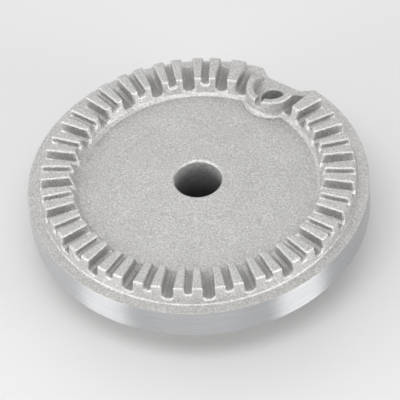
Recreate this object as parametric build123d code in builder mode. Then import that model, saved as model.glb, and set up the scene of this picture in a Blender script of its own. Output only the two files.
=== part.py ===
"""Gas burner flame spreader: one aluminium casting with a slotted tooth ring.

Millimetres, +Z up along the bore. The origin is the centre of the hub's foot,
and the igniter bay lies on +Y.
"""
import os
from math import asin, atan2, cos, degrees, radians, sin, sqrt, tan

from build123d import *

# Turned skirt and the flat rim above it
RIM_R = 36.0
SKIRT_H = 7.0
SKIRT_WALL = 3.6
SKIRT_EDGE = 0.3
RIM_LEDGE = 2.5

# Hub under the disc, with the gas bore through it
BORE_R = 5.0
BORE_LIP = 0.35
BORE_FLARE = 1.2
HUB_WALL = 3.6
HUB_DROP = 10.8
HUB_EDGE = 0.5

# Crowned floor inside the tooth ring
FLOOR_EDGE_H = 0.4
FLOOR_RISE = 1.2
FLOOR_T = 3.4
RECESS_CORNER = 1.2
RECESS_DRAFT = 3.0

# Tooth ring
TOOTH_H = 4.2
RING_W = 6.3
RING_OUT_DRAFT = 0.5
RING_IN_DRAFT = 1.1
RING_FOOT_BEVEL = 0.25
RING_FLOOR_BEVEL = 0.55
TOOTH_EDGE = 0.25

# Flame slots: wide ones with a narrow one halfway between each two
SLOT_PAIRS = 24
WIDE_W = 2.4
WIDE_DEPTH = 3.1
NARROW_W = 1.5
NARROW_DEPTH = 1.6
SLOT_CORNER = 0.25
SLOT_END_BEVEL = 0.3
MIN_TOOTH = 1.2

# Igniter bay: a walled pocket round the electrode hole, open to the rim
BAY_SETBACK = 5.0
POCKET_R = 3.8
POCKET_WALL = 1.5
POCKET_DRAFT = 4.0
POCKET_FLARE = 12.0
SIDE_SLOT_OFF = 0.9
SIDE_SILL = 0.3
IGNITER_HOLE_R = 2.4
IGNITER_HOLE_OUT = 0.5
IGNITER_HOLE_EDGE = 0.3
RAMP_RUN = 4.8
NOTCH_DEPTH = 2.5
NOTCH_FLAT_W = 8.0
NOTCH_FLARE = 54.0

# Angle of every bevelled edge, and the room a cutting tool keeps past the faces it cuts
BEVEL = 45.0
OVER = 1.0

# Levels and radii that follow from the sizes above
skirt_z = HUB_DROP
rim_z = skirt_z + SKIRT_H
top_z = rim_z + TOOTH_H
sill_z = top_z - WIDE_DEPTH
floor_edge_z = rim_z + FLOOR_EDGE_H
floor_mid_z = floor_edge_z + FLOOR_RISE
under_edge_z = floor_edge_z - FLOOR_T
under_mid_z = floor_mid_z - FLOOR_T

ring_foot_r = RIM_R - RIM_LEDGE
ring_out_r = ring_foot_r - RING_OUT_DRAFT
ring_in_r = ring_out_r - RING_W
floor_r = ring_in_r - RING_IN_DRAFT
out_lean = atan2(RING_OUT_DRAFT, TOOTH_H)
in_lean = atan2(RING_IN_DRAFT, top_z - floor_edge_z)
hub_r = BORE_R + HUB_WALL
skirt_in_r = RIM_R - SKIRT_WALL
recess_r = skirt_in_r - (under_edge_z - skirt_z) * tan(radians(RECESS_DRAFT))

bay_y = ring_foot_r - BAY_SETBACK
igniter_y = bay_y + IGNITER_HOLE_OUT
boss_r = POCKET_R + POCKET_WALL
boss_foot_r = boss_r + (TOOTH_H - TOOTH_EDGE) * tan(radians(POCKET_DRAFT))
side_slot_angle = degrees(asin((boss_r + SIDE_SLOT_OFF) / bay_y))
notch_y = RIM_R - NOTCH_DEPTH


def ray(radius, angle, height):
    """Point at a radius and at an angle from the igniter bay's direction."""
    turn = radians(90 + angle)
    return (radius * cos(turn), radius * sin(turn), height)


def slot_plane(angle, start_r=floor_r - OVER):
    """Plane across a slot's inner end, facing outwards, level with the tooth tops."""
    start = ray(start_r, angle, top_z)
    return Plane(origin=start, x_dir=ray(1, angle + 90, 0), z_dir=ray(1, angle, 0))


def slot_angles(first, width):
    """Angles of one kind of slot, without those that the igniter bay takes up."""
    pitch = 360 / SLOT_PAIRS
    reach = degrees((width / 2 + WIDE_W / 2 + MIN_TOOTH) / ring_in_r)
    kept = []
    for number in range(SLOT_PAIRS):
        angle = first + number * pitch
        off_bay = min(angle, 360 - angle)
        if off_bay - reach > side_slot_angle:
            kept.append(angle)
    return kept


def slot_outline(width, depth):
    """Section of a slot: a flat bottom with cut corners, straight sides and a bevelled mouth."""
    side = width / 2
    corner = width * SLOT_CORNER
    mouth = side + TOOTH_EDGE + OVER
    Polygon(
        (-mouth, OVER),
        (-side, -TOOTH_EDGE),
        (-side, corner - depth),
        (corner - side, -depth),
        (side - corner, -depth),
        (side, corner - depth),
        (side, -TOOTH_EDGE),
        (mouth, OVER),
        align=None,
    )


def end_plane(angle, radius, lean, facing):
    """Plane a bevel's depth off the ring's wall at a slot's end, facing outwards (1) or inwards (-1)."""
    origin = ray(radius, angle, top_z)
    along = ray(facing, angle + 90, 0)
    away = ray(facing * cos(lean), angle, sin(lean))
    return Plane(origin=origin, x_dir=along, z_dir=away).offset(SLOT_END_BEVEL)


def end_outline(width, depth, lean):
    """A slot's section on that plane, widened so that it tapers to the slot's own size inside the wall."""
    reach = 2 * SLOT_END_BEVEL
    side = width / 2 + reach
    bottom = depth / cos(lean) + reach
    corner = width * SLOT_CORNER + reach * (2 - sqrt(2))
    head = reach + OVER
    Polygon(
        (-side, head),
        (-side, corner - bottom),
        (corner - side, -bottom),
        (side - corner, -bottom),
        (side, corner - bottom),
        (side, head),
        align=None,
    )


def bay_outline(radius, length):
    """Outline round the electrode: round towards the bore, with sides that spread outwards."""
    flare = radians(POCKET_FLARE)
    side_x = radius * cos(flare)
    side_y = bay_y - radius * sin(flare)
    end_x = side_x + length * tan(flare)
    with Locations((0, bay_y)):
        Circle(radius)
    end_y = side_y + length
    Polygon((-side_x, side_y), (side_x, side_y), (end_x, end_y), (-end_x, end_y), align=None)


def near(sketch, spots):
    """The sketch's corners that lie at the given spots."""
    return [sketch.vertices().sort_by_distance((x, y, 0))[0] for x, y in spots]


with BuildPart() as spreader:
    # Half section of the casting, turned about the bore
    with BuildSketch(Plane.XZ) as section:
        with BuildLine():
            Polyline(
                (BORE_R, BORE_FLARE),
                (BORE_R + BORE_FLARE, 0),
                (hub_r, 0),
                (hub_r, under_mid_z),
                (recess_r, under_edge_z),
                (skirt_in_r, skirt_z),
                (RIM_R, skirt_z),
                (RIM_R, rim_z),
                (ring_foot_r, rim_z),
                (ring_out_r, top_z),
                (ring_in_r, top_z),
                (floor_r, floor_edge_z),
                (BORE_R, floor_mid_z),
                close=True,
            )
        make_face()
        chamfer(near(section, [(BORE_R, floor_mid_z)]), BORE_LIP)
        chamfer(near(section, [(floor_r, floor_edge_z)]), RING_FLOOR_BEVEL)
        chamfer(near(section, [(ring_foot_r, rim_z)]), RING_FOOT_BEVEL)
        chamfer(near(section, [(hub_r, under_mid_z), (recess_r, under_edge_z)]), RECESS_CORNER)
        chamfer(near(section, [(hub_r, 0)]), HUB_EDGE)
        chamfer(near(section, [(RIM_R, skirt_z)]), SKIRT_EDGE)
        chamfer(near(section, [(ring_out_r, top_z), (ring_in_r, top_z)]), TOOTH_EDGE)
    revolve(axis=Axis.Z)

    # Flame slots right through the ring, the wide ones also beside the igniter bay, with bevelled ends
    slot_run = ring_foot_r - floor_r + 2 * OVER
    wide_angles = slot_angles(180 / SLOT_PAIRS, WIDE_W) + [side_slot_angle, -side_slot_angle]
    narrow_angles = slot_angles(0, NARROW_W)
    for angles, width, depth in ((wide_angles, WIDE_W, WIDE_DEPTH), (narrow_angles, NARROW_W, NARROW_DEPTH)):
        with BuildSketch(*[slot_plane(angle) for angle in angles]):
            slot_outline(width, depth)
        extrude(amount=slot_run, mode=Mode.SUBTRACT)
        for wall_r, lean, facing in ((ring_out_r, out_lean, 1), (ring_in_r, in_lean, -1)):
            with BuildSketch(*[end_plane(angle, wall_r, lean, facing) for angle in angles]):
                end_outline(width, depth, lean)
            extrude(amount=-2 * SLOT_END_BEVEL, taper=BEVEL, mode=Mode.SUBTRACT)

    # Igniter bay: the ring is cleared between the two slots beside it
    with BuildSketch(Plane.XY.offset(sill_z + SIDE_SILL)):
        Circle(ring_foot_r + OVER)
        Circle(floor_r - OVER, mode=Mode.SUBTRACT)
        with BuildLine():
            Polyline(
                (0, 0),
                ray(2 * RIM_R, -side_slot_angle, 0)[:2],
                ray(2 * RIM_R, side_slot_angle, 0)[:2],
                close=True,
            )
        make_face(mode=Mode.INTERSECT)
    extrude(amount=TOOTH_H, mode=Mode.SUBTRACT)

    # Wall round the electrode, with draft and a bevelled top
    with BuildSketch(Plane.XY.offset(rim_z)):
        bay_outline(boss_foot_r, RAMP_RUN)
    extrude(amount=TOOTH_H - TOOTH_EDGE, taper=POCKET_DRAFT)
    with BuildSketch(Plane.XY.offset(top_z - TOOTH_EDGE)):
        bay_outline(boss_r, RAMP_RUN)
    extrude(amount=TOOTH_EDGE, taper=BEVEL)

    # Pocket inside that wall, level with the rim and open outwards
    with BuildSketch(Plane.XY.offset(rim_z)):
        bay_outline(POCKET_R, RIM_R)
    extrude(amount=TOOTH_H + OVER, mode=Mode.SUBTRACT)
    with BuildSketch(Plane.XY.offset(top_z - TOOTH_EDGE)):
        bay_outline(POCKET_R, RIM_R)
    extrude(amount=TOOTH_EDGE + OVER, taper=-BEVEL, mode=Mode.SUBTRACT)

    # Both arms of the wall slope down to the rim
    ramp_foot_y = bay_y + RAMP_RUN
    ramp_slope = RAMP_RUN / TOOTH_H
    with BuildSketch(Plane.YZ):
        with BuildLine():
            Polyline(
                (ramp_foot_y, rim_z),
                (bay_y - OVER * ramp_slope, top_z + OVER),
                (RIM_R + OVER, top_z + OVER),
                (RIM_R + OVER, rim_z),
                close=True,
            )
        make_face()
    extrude(amount=boss_r + SIDE_SLOT_OFF + WIDE_W / 2, both=True, mode=Mode.SUBTRACT)

    # Pilot slot through the wall, in line with the bore
    with BuildSketch(slot_plane(0, bay_y - boss_foot_r - OVER)):
        slot_outline(NARROW_W, NARROW_DEPTH)
    extrude(amount=boss_foot_r + OVER, mode=Mode.SUBTRACT)

    # Electrode hole
    with BuildSketch(Plane.XY.offset(rim_z)):
        with Locations((0, igniter_y)):
            Circle(IGNITER_HOLE_R)
    extrude(amount=-2 * FLOOR_T, mode=Mode.SUBTRACT)
    with BuildSketch(Plane.XY.offset(rim_z)):
        with Locations((0, igniter_y)):
            Circle(IGNITER_HOLE_R + IGNITER_HOLE_EDGE)
    extrude(amount=-IGNITER_HOLE_EDGE, taper=BEVEL, mode=Mode.SUBTRACT)

    # Notch in the rim outside the bay, through the whole skirt
    notch_reach = NOTCH_DEPTH + OVER
    notch_spread = NOTCH_FLAT_W / 2 + notch_reach * tan(radians(NOTCH_FLARE))
    with BuildSketch(Plane.XY.offset(skirt_z)):
        with BuildLine():
            Polyline(
                (-NOTCH_FLAT_W / 2, notch_y),
                (NOTCH_FLAT_W / 2, notch_y),
                (notch_spread, notch_y + notch_reach),
                (-notch_spread, notch_y + notch_reach),
                close=True,
            )
        make_face()
    extrude(amount=SKIRT_H + TOOTH_H + OVER, mode=Mode.SUBTRACT)

spreader.part.label = "flame_spreader"

os.makedirs("parts", exist_ok=True)
export_step(spreader.part, "parts/flame_spreader.step")
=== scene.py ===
"""Looks of the gas burner flame spreader: blasted cast aluminium with painted shade in its hollows and edges
with wear and a painted highlight, a bright turned wall, and a bore darkened with painted shade.
"""
from math import cos, radians, sin, tan

import bmesh
import bpy
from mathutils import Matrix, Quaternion, Vector


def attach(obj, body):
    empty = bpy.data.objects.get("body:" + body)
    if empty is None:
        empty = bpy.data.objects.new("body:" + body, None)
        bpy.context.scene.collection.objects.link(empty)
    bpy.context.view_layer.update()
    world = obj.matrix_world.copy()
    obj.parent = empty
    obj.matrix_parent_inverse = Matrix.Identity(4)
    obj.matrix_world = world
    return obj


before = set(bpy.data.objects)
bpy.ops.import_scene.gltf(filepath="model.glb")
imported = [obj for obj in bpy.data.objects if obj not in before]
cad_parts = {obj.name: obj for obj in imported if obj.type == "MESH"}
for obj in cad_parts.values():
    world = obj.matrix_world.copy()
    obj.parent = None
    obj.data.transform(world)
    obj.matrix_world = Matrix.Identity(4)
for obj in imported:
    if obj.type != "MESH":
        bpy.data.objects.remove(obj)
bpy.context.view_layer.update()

MM = 0.001

# Grey values that a cloud of noise mostly stays between
CLOUD_LOW = 0.25
CLOUD_HIGH = 0.75

# Sizes of the casting that the skins depend on
RIM_R = 36 * MM
RIM_Z = 17.8 * MM
TOOTH_TOP_Z = 22.0 * MM
BORE_R = 5 * MM
IGNITER_HOLE_R = 2.4 * MM
IGNITER_HOLE_Y = 29.0 * MM
RECESS_FLOOR_R = 25.6 * MM
RECESS_FLOOR_MID_Z = 19.4 * MM
RECESS_FLOOR_RISE = 1.2 * MM

# How a face is known: its upward share when level or upright, and how near it lies to a stated size
LEVEL = 0.97
UPRIGHT = 0.1
FACE_TOLERANCE = 0.05 * MM

# Fillet along the foot of the wall round the igniter bay; angles in degrees
BAY_Y = 28.5 * MM
BAY_WALL_R = 5.3 * MM
BAY_WALL_TOP = 21.75 * MM
BAY_WALL_DRAFT = 4.0
FILLET_R = 0.9 * MM
FILLET_SINK = 0.03 * MM
FILLET_HALF_TURN = 56.0
FILLET_STEPS = 48
FILLET_FACETS = 6

# Blasted skin: the tones of its grain, of painted shade in a sheltered place, and of a worn edge that is also
# painted bright as a highlight
CAST_DARK = (0.45, 0.445, 0.437, 1)
CAST_MEAN = (0.66, 0.653, 0.642, 1)
CAST_LIGHT = (0.97, 0.962, 0.948, 1)
# Painted shade: the dark tone mixed in where walls occlude the casting
CAST_PAINTED_SHADE = (0.20, 0.198, 0.195, 1)
# Worn edge tone, lighter than the grain: wear and a painted highlight
CAST_WEAR_AND_HIGHLIGHT = (0.87, 0.863, 0.851, 1)
CAST_STOPS = (0.25, 0.5, 0.78)
CAST_ROUGH = 0.54
CAST_ROUGH_SPREAD = 0.20
WORN_ROUGH = 0.34
GRAIN_PER_MM = 2.6
GRAIN_DETAIL = 2.0
GRAIN_DEPTH = 0.14 * MM
MOTTLE_PER_MM = 0.16
MOTTLE_DETAIL = 4.0
MOTTLE_SHARE = 0.12

# Edges of the blasted skin: how far they are rounded, and where the rounding counts as wear with a painted
# highlight
EDGE_ROUNDING = 0.40 * MM
RIM_EDGE_ROUNDING = 0.05 * MM
EDGE_SAMPLES = 8
UNWORN_UNLIT_LIKENESS = 0.998
WORN_HIGHLIT_LIKENESS = 0.93

# Painted shade where walls occlude the casting: how far a wall shades, how much of the painted dark tone each
# place takes, and where hollow corners lose the worn edges' painted highlight
SHELTER_REACH = 4.0 * MM
FLOOR_SHELTER_REACH = 9.0 * MM
SHELTER_SAMPLES = 12
OPEN_SKY = 0.95
HIDDEN_SKY = 0.15
RUBBED_HIGHLIT_SHELTER = 0.06
UNRUBBED_UNLIT_SHELTER = 0.22
WALL_PAINTED_SHADE = 0.02
SLOT_FLOOR_PAINTED_SHADE = 0.95
FLOOR_PAINTED_SHADE = 0.55
RIM_PAINTED_SHADE = 0.08

# Marks left by a cutting tool
MARK_DETAIL = 3.0
MARK_DEPTH = 0.004 * MM
MARK_STOPS = (0.3, 0.7)
FINE_ROUGHNESS = 0.6

# Turned skin, with marks that run round the wall; its gloss is drawn out a quarter turn from them
TURNED_DARK = (0.50, 0.505, 0.52, 1)
TURNED_LIGHT = (0.68, 0.685, 0.69, 1)
TURNED_ROUGH = 0.40
TURNED_ROUGH_SPREAD = 0.08
TURNED_ANISOTROPY = 1.0
TURNED_GLOSS_TURN = 0.25
TURNED_ALONG_PER_MM = 0.12
TURNED_ACROSS_PER_MM = 9.0

# Drilled skin of the holes, painted darker than the casting as painted shade and less metallic, with painted
# shade darker down the bore; heights in millimetres
BORE_DARK = (0.32, 0.318, 0.315, 1)
BORE_LIGHT = (0.66, 0.657, 0.652, 1)
# Painted shade: the near-black tone far down the bore
BORE_PAINTED_SHADE = (0.07, 0.07, 0.072, 1)
BORE_METAL = 0.35
BORE_UNSHADED_Z = 19.0
BORE_SHADED_Z = 10.0
BORE_ROUGH = 0.66
BORE_ROUGH_SPREAD = 0.16
DRILLED_ALONG_PER_MM = 1.2
DRILLED_ACROSS_PER_MM = 4.0

# Camera; angles in degrees, lens and film in millimetres
VIEW_TURN = -53.1
VIEW_RISE = 47.463
VIEW_DISTANCE = 837.4 * MM
VIEW_ROLL = -4.697
LENS = 358.4
FILM_WIDTH = 36
AIM = Vector((1.56, -1.99, 15.48)) * MM
NEAREST = 0.01
FARTHEST = 20

# Studio
FLOOR_COLOUR = (0.80, 0.80, 0.80, 1)
FLOOR_ROUGH = 0.9
FLOOR_HALF = 4.0
FLOOR_GAP = 0.02 * MM
WORLD_COLOUR = (1.0, 1.0, 1.0, 1)
WORLD_LIGHT = 0.46


def direction(turn, rise):
    """Unit vector from the object towards a place round it, in degrees."""
    turn = radians(turn)
    rise = radians(rise)
    return Vector((cos(turn) * cos(rise), sin(turn) * cos(rise), sin(rise)))


def new_material(name):
    """A node material with its tree and its shader."""
    material = bpy.data.materials.new(name)
    material.use_nodes = True
    tree = material.node_tree
    return material, tree, tree.nodes["Principled BSDF"]


def millimetres(tree):
    """The part's own coordinates in millimetres."""
    place = tree.nodes.new("ShaderNodeTexCoord")
    scale = tree.nodes.new("ShaderNodeVectorMath")
    scale.operation = "SCALE"
    scale.inputs["Scale"].default_value = 1 / MM
    tree.links.new(place.outputs["Object"], scale.inputs[0])
    return scale.outputs["Vector"]


def stretched(tree, place, along, across):
    """Coordinates that change slowly round the part and fast up it."""
    mapping = tree.nodes.new("ShaderNodeMapping")
    mapping.inputs["Scale"].default_value = (along, along, across)
    tree.links.new(place, mapping.inputs["Vector"])
    return mapping.outputs["Vector"]


def noise(tree, place, scale, detail, roughness=0.5):
    """A cloud of grey values about one half."""
    node = tree.nodes.new("ShaderNodeTexNoise")
    node.inputs["Scale"].default_value = scale
    node.inputs["Detail"].default_value = detail
    node.inputs["Roughness"].default_value = roughness
    tree.links.new(place, node.inputs["Vector"])
    return node.outputs["Fac"]


def tinted(tree, value, stops, colours):
    """A colour that goes through the given ones, each at its grey value."""
    node = tree.nodes.new("ShaderNodeValToRGB")
    elements = node.color_ramp.elements
    while len(elements) < len(stops):
        elements.new(0.5)
    for element, position, colour in zip(elements, stops, colours):
        element.position = position
        element.color = colour
    tree.links.new(value, node.inputs["Fac"])
    return node.outputs["Color"]


def mixed(tree, kind, factor, first, second):
    """First and second mixed by a factor; each is a socket or a fixed value."""
    node = tree.nodes.new("ShaderNodeMix")
    node.data_type = kind
    by_type = {"FLOAT": 0, "VECTOR": 1, "RGBA": 2}[kind]
    ends = [[i for i in node.inputs if i.name == name][by_type] for name in ("A", "B")]
    for socket, value in zip([node.inputs["Factor"], *ends], (factor, first, second)):
        if isinstance(value, bpy.types.NodeSocket):
            tree.links.new(value, socket)
        else:
            socket.default_value = value
    return [o for o in node.outputs if o.name == "Result"][by_type]


def times(tree, first, second):
    """First times second, which is a socket or a fixed value."""
    node = tree.nodes.new("ShaderNodeMath")
    node.operation = "MULTIPLY"
    tree.links.new(first, node.inputs[0])
    if isinstance(second, bpy.types.NodeSocket):
        tree.links.new(second, node.inputs[1])
    else:
        node.inputs[1].default_value = second
    return node.outputs["Value"]


def ramped(tree, value, start, end, low=0.0, high=1.0):
    """Low where the value is at its start, high at its end and steady beyond."""
    node = tree.nodes.new("ShaderNodeMapRange")
    node.inputs["From Min"].default_value = start
    node.inputs["From Max"].default_value = end
    node.inputs["To Min"].default_value = low
    node.inputs["To Max"].default_value = high
    tree.links.new(value, node.inputs["Value"])
    return node.outputs["Result"]


def varied(tree, cloud, middle, spread):
    """A cloud of grey values turned into numbers about a middle."""
    return ramped(tree, cloud, CLOUD_LOW, CLOUD_HIGH, middle - spread / 2, middle + spread / 2)


def raised(tree, height, depth, normal=None):
    """A relief of the given depth, on a given surface direction."""
    node = tree.nodes.new("ShaderNodeBump")
    node.inputs["Strength"].default_value = 1.0
    node.inputs["Distance"].default_value = depth
    tree.links.new(height, node.inputs["Height"])
    if normal is not None:
        tree.links.new(normal, node.inputs["Normal"])
    return node.outputs["Normal"]


def rounded_edges(tree, radius):
    """Surface direction that turns softly over each edge."""
    node = tree.nodes.new("ShaderNodeBevel")
    node.samples = EDGE_SAMPLES
    node.inputs["Radius"].default_value = radius
    return node.outputs["Normal"]


def worn_highlit_edges(tree, rounded):
    """One on the edges, where the rounded surface direction leaves the true one, and nought elsewhere."""
    geometry = tree.nodes.new("ShaderNodeNewGeometry")
    likeness = tree.nodes.new("ShaderNodeVectorMath")
    likeness.operation = "DOT_PRODUCT"
    tree.links.new(rounded, likeness.inputs[0])
    tree.links.new(geometry.outputs["Normal"], likeness.inputs[1])
    return ramped(tree, likeness.outputs["Value"], UNWORN_UNLIT_LIKENESS, WORN_HIGHLIT_LIKENESS)


def painted_shade_mask(tree, reach):
    """Painted shade mask: one deep in the slots and by the walls, where little sky is seen, and nought in the
    open.
    """
    sky = tree.nodes.new("ShaderNodeAmbientOcclusion")
    sky.samples = SHELTER_SAMPLES
    sky.only_local = True
    sky.inputs["Distance"].default_value = reach
    return ramped(tree, sky.outputs["AO"], OPEN_SKY, HIDDEN_SKY)


def open_worn_highlit_edges(tree, worn_and_highlit, deep):
    """Worn edges with their painted highlight, without those in hollow corners, which nothing rubs."""
    return times(tree, worn_and_highlit, ramped(tree, deep, RUBBED_HIGHLIT_SHELTER, UNRUBBED_UNLIT_SHELTER, 1.0, 0.0))


def cast_aluminium(name, edge_rounding, shelter_reach, painted_shade_share):
    """Cast skin after blasting: fine sparkling grain, painted shade by the walls and in the slots, edges
    rounded with wear and a painted highlight.
    """
    material, tree, shader = new_material(name)
    place = millimetres(tree)
    grain = noise(tree, place, GRAIN_PER_MM, GRAIN_DETAIL, FINE_ROUGHNESS)
    mottle = noise(tree, place, MOTTLE_PER_MM, MOTTLE_DETAIL)
    shade = mixed(tree, "FLOAT", MOTTLE_SHARE, grain, mottle)
    rounded = rounded_edges(tree, edge_rounding)
    deep = painted_shade_mask(tree, shelter_reach)
    # Painted highlight on worn edges, kept out of hollow corners by the painted shade mask
    worn_and_highlit = open_worn_highlit_edges(tree, worn_highlit_edges(tree, rounded), deep)
    skin = tinted(tree, shade, CAST_STOPS, (CAST_DARK, CAST_MEAN, CAST_LIGHT))
    # Painted shade: darker where walls occlude the casting
    skin = mixed(tree, "RGBA", times(tree, deep, painted_shade_share), skin, CAST_PAINTED_SHADE)
    # Worn edges, painted lighter as a highlight
    skin = mixed(tree, "RGBA", worn_and_highlit, skin, CAST_WEAR_AND_HIGHLIGHT)
    rough = varied(tree, grain, CAST_ROUGH, CAST_ROUGH_SPREAD)
    rough = mixed(tree, "FLOAT", worn_and_highlit, rough, WORN_ROUGH)
    relief = raised(tree, grain, GRAIN_DEPTH, rounded)
    shader.inputs["Metallic"].default_value = 1.0
    tree.links.new(skin, shader.inputs["Base Color"])
    tree.links.new(rough, shader.inputs["Roughness"])
    tree.links.new(relief, shader.inputs["Normal"])
    return material


def turned_aluminium():
    """Bright skin from the lathe, with fine marks round the part."""
    material, tree, shader = new_material("turned_aluminium")
    place = stretched(tree, millimetres(tree), TURNED_ALONG_PER_MM, TURNED_ACROSS_PER_MM)
    marks = noise(tree, place, 1.0, MARK_DETAIL, FINE_ROUGHNESS)
    skin = tinted(tree, marks, MARK_STOPS, (TURNED_DARK, TURNED_LIGHT))
    rough = varied(tree, marks, TURNED_ROUGH, TURNED_ROUGH_SPREAD)
    relief = raised(tree, marks, MARK_DEPTH)
    tangent = tree.nodes.new("ShaderNodeTangent")
    tangent.direction_type = "RADIAL"
    tangent.axis = "Z"
    shader.inputs["Metallic"].default_value = 1.0
    shader.inputs["Anisotropic"].default_value = TURNED_ANISOTROPY
    shader.inputs["Anisotropic Rotation"].default_value = TURNED_GLOSS_TURN
    tree.links.new(tangent.outputs["Tangent"], shader.inputs["Tangent"])
    tree.links.new(skin, shader.inputs["Base Color"])
    tree.links.new(rough, shader.inputs["Roughness"])
    tree.links.new(relief, shader.inputs["Normal"])
    return material


def bore_painted_shade(tree, place):
    """Painted shade mask: nought at the top of the bore and one far down it."""
    split = tree.nodes.new("ShaderNodeSeparateXYZ")
    tree.links.new(place, split.inputs["Vector"])
    return ramped(tree, split.outputs["Z"], BORE_UNSHADED_Z, BORE_SHADED_Z)


def drilled_aluminium():
    """Darker skin of the holes as painted shade, with marks from the drill, and painted shade darker towards
    the bottom of the bore.
    """
    material, tree, shader = new_material("drilled_aluminium")
    place = millimetres(tree)
    along_drill = stretched(tree, place, DRILLED_ALONG_PER_MM, DRILLED_ACROSS_PER_MM)
    marks = noise(tree, along_drill, 1.0, MARK_DETAIL, FINE_ROUGHNESS)
    skin = tinted(tree, marks, MARK_STOPS, (BORE_DARK, BORE_LIGHT))
    # Painted shade: darker towards the bottom of the bore
    skin = mixed(tree, "RGBA", bore_painted_shade(tree, place), skin, BORE_PAINTED_SHADE)
    rough = varied(tree, marks, BORE_ROUGH, BORE_ROUGH_SPREAD)
    relief = raised(tree, marks, MARK_DEPTH)
    shader.inputs["Metallic"].default_value = BORE_METAL
    tree.links.new(skin, shader.inputs["Base Color"])
    tree.links.new(rough, shader.inputs["Roughness"])
    tree.links.new(relief, shader.inputs["Normal"])
    return material


def skin_of(polygon):
    """Name of the skin on a face, from where it lies and which way it faces."""
    height = polygon.center.z
    upwards = polygon.normal.z
    centre = polygon.center.to_2d()
    from_axis = centre.length
    from_igniter = (centre - Vector((0, IGNITER_HOLE_Y))).length
    if upwards > LEVEL:
        if abs(height - RIM_Z) < FACE_TOLERANCE:
            return "rim"
        if RIM_Z < height <= RECESS_FLOOR_MID_Z and from_axis < RECESS_FLOOR_R:
            return "floor"
        if RIM_Z < height < TOOTH_TOP_Z - EDGE_ROUNDING and from_axis > RECESS_FLOOR_R:
            return "slot_floor"
    if abs(upwards) > UPRIGHT:
        return "cast"
    if from_axis > RIM_R - FACE_TOLERANCE:
        return "turned"
    if from_axis < BORE_R + FACE_TOLERANCE or from_igniter < IGNITER_HOLE_R + FACE_TOLERANCE:
        return "drilled"
    return "cast"


def finish_casting(casting):
    """Gives each face of the casting its skin, and returns the skins by name."""
    # The blasted skins differ in edge rounding and in how much painted shade they take
    skins = {
        "cast": cast_aluminium("blasted_cast_aluminium", EDGE_ROUNDING, SHELTER_REACH, WALL_PAINTED_SHADE),
        "turned": turned_aluminium(),
        "drilled": drilled_aluminium(),
        "rim": cast_aluminium("blasted_rim", RIM_EDGE_ROUNDING, SHELTER_REACH, RIM_PAINTED_SHADE),
        "floor": cast_aluminium("blasted_floor", EDGE_ROUNDING, FLOOR_SHELTER_REACH, FLOOR_PAINTED_SHADE),
        "slot_floor": cast_aluminium("blasted_slot_floors", EDGE_ROUNDING, SHELTER_REACH, SLOT_FLOOR_PAINTED_SHADE),
    }
    mesh = casting.data
    mesh.materials.clear()
    for material in skins.values():
        mesh.materials.append(material)
    order = list(skins)
    for polygon in mesh.polygons:
        polygon.material_index = order.index(skin_of(polygon))
    return skins


def floor_height(spot):
    """Height of the crowned floor inside the ring."""
    return RECESS_FLOOR_MID_Z - RECESS_FLOOR_RISE * (spot.length / RECESS_FLOOR_R) ** 2


def fillet_section(turn):
    """Points across the fillet at one place along the bay's wall: its hollow face, then its hidden corner."""
    outwards = Vector((sin(turn), -cos(turn)))
    outline = []
    for facet in range(FILLET_FACETS + 1):
        angle = radians(90) * facet / FILLET_FACETS
        outline.append((FILLET_R * (1 - cos(angle)), FILLET_R * (1 - sin(angle))))
    outline.append((0, 0))
    points = []
    for out, up in outline:
        out -= FILLET_SINK
        up -= FILLET_SINK
        wall_drop = BAY_WALL_TOP - RECESS_FLOOR_MID_Z + RECESS_FLOOR_RISE - up
        wall_r = BAY_WALL_R + wall_drop * tan(radians(BAY_WALL_DRAFT))
        spot = Vector((0, BAY_Y)) + outwards * (wall_r + out)
        points.append((spot.x, spot.y, floor_height(spot) + up))
    return points


def add_bay_fillet(skin):
    """The fillet between the bay's wall and the floor, on the side of the bore."""
    shape = bmesh.new()
    half_turn = radians(FILLET_HALF_TURN)
    turns = [half_turn * (2 * step / FILLET_STEPS - 1) for step in range(FILLET_STEPS + 1)]
    sections = [[shape.verts.new(point) for point in fillet_section(turn)] for turn in turns]
    for here, there in zip(sections, sections[1:]):
        for i, corner in enumerate(here):
            face = shape.faces.new((here[i - 1], corner, there[i], there[i - 1]))
            face.smooth = 0 < i <= FILLET_FACETS
    for end in (sections[0], sections[-1]):
        shape.faces.new(end)
    bmesh.ops.recalc_face_normals(shape, faces=shape.faces)
    mesh = bpy.data.meshes.new("bay_fillet")
    shape.to_mesh(mesh)
    shape.free()
    mesh.materials.append(skin)
    fillet = bpy.data.objects.new("bay_fillet", mesh)
    bpy.context.scene.collection.objects.link(fillet)
    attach(fillet, "root")


def add_floor():
    """A wide pale floor under the hub's foot."""
    corners = [(-1, -1), (1, -1), (1, 1), (-1, 1)]
    points = [(x * FLOOR_HALF, y * FLOOR_HALF, -FLOOR_GAP) for x, y in corners]
    mesh = bpy.data.meshes.new("floor")
    mesh.from_pydata(points, [], [(0, 1, 2, 3)])
    floor = bpy.data.objects.new("floor", mesh)
    bpy.context.scene.collection.objects.link(floor)
    material, _, shader = new_material("pale_floor")
    shader.inputs["Base Color"].default_value = FLOOR_COLOUR
    shader.inputs["Roughness"].default_value = FLOOR_ROUGH
    mesh.materials.append(material)


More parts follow.
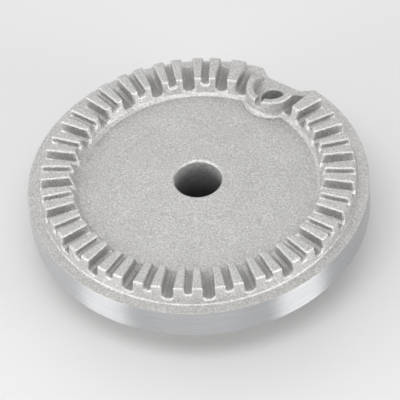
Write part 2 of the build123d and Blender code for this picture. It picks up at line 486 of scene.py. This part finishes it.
def add_world():
    """Even light from all round."""
    world = bpy.data.worlds.new("studio")
    bpy.context.scene.world = world
    world.use_nodes = True
    background = world.node_tree.nodes["Background"]
    background.inputs["Color"].default_value = WORLD_COLOUR
    background.inputs["Strength"].default_value = WORLD_LIGHT


def add_soft_box(name, turn, rise, distance, width, height, power):
    """A soft box that faces the part; its turn counts from the view, in degrees."""
    lamp = bpy.data.lights.new(name, "AREA")
    lamp.shape = "RECTANGLE"
    lamp.size = width
    lamp.size_y = height
    lamp.energy = power
    box = bpy.data.objects.new(name, lamp)
    box.visible_camera = False
    place = direction(VIEW_TURN + turn, rise)
    box.location = place * distance
    box.rotation_euler = (-place).to_track_quat("-Z", "Y").to_euler()
    bpy.context.scene.collection.objects.link(box)


def add_lights():
    """A wide box behind the part, one over the viewer, two at the left of the view and one at the right."""
    add_soft_box("back_box", turn=180, rise=48, distance=0.90, width=0.90, height=0.70, power=1.15)
    add_soft_box("front_box", turn=-10, rise=66, distance=0.75, width=0.50, height=0.25, power=1.9)
    add_soft_box("left_box", turn=-61, rise=15, distance=0.80, width=0.38, height=0.30, power=2.1)
    add_soft_box("left_back_box", turn=-106, rise=29, distance=0.80, width=0.70, height=0.30, power=0.9)
    add_soft_box("right_box", turn=54, rise=15, distance=0.80, width=0.40, height=0.30, power=2.5)


def add_camera():
    """The view: from well above, with the bay at the back right, slightly rolled."""
    data = bpy.data.cameras.new("camera")
    data.lens = LENS
    data.sensor_width = FILM_WIDTH
    data.clip_start = NEAREST
    data.clip_end = FARTHEST
    camera = bpy.data.objects.new("camera", data)
    camera.location = Vector((0, 0, RIM_Z)) + direction(VIEW_TURN, VIEW_RISE) * VIEW_DISTANCE
    look = (AIM - camera.location).to_track_quat("-Z", "Y")
    roll = Quaternion((0, 0, 1), radians(VIEW_ROLL))
    camera.rotation_euler = (look @ roll).to_euler()
    bpy.context.scene.collection.objects.link(camera)
    bpy.context.scene.camera = camera


skins = finish_casting(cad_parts["flame_spreader"])
add_bay_fillet(skins["rim"])
add_floor()
add_world()
add_lights()
add_camera()
bpy.context.scene.view_settings.view_transform = "Standard"
